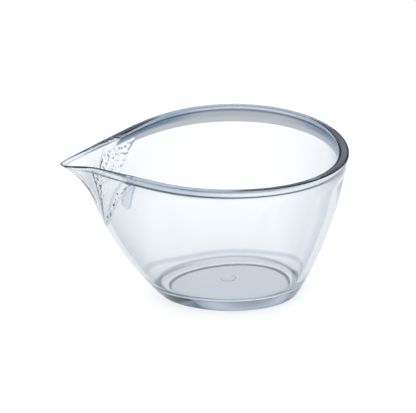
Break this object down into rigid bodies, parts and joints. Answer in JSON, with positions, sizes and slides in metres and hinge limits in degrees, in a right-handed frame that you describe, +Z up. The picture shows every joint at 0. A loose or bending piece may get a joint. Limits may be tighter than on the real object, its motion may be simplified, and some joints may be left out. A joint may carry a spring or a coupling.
{
  "type": "mixing bowl",
  "caption": "Clear pressed-glass mixing bowl, egg-shaped in plan, with a rounded rim bead that thins into a pointed pouring lip and a thick oval foot.",
  "frame": {"origin": "on the surface the bowl stands on, under the middle of its overall length and width", "axes": "+Z up, out of the open top; -X towards the point of the pouring lip; the plane y = 0 is the plane of symmetry"},
  "size_m": [0.2092, 0.1902, 0.1166],
  "materials": {
    "clear_glass": "clear pressed glass, fire-polished, very faint blue-grey tint"
  },
  "bodies": {
    "root": {"bowl": "clear_glass"}
  },
  "joints": []
}
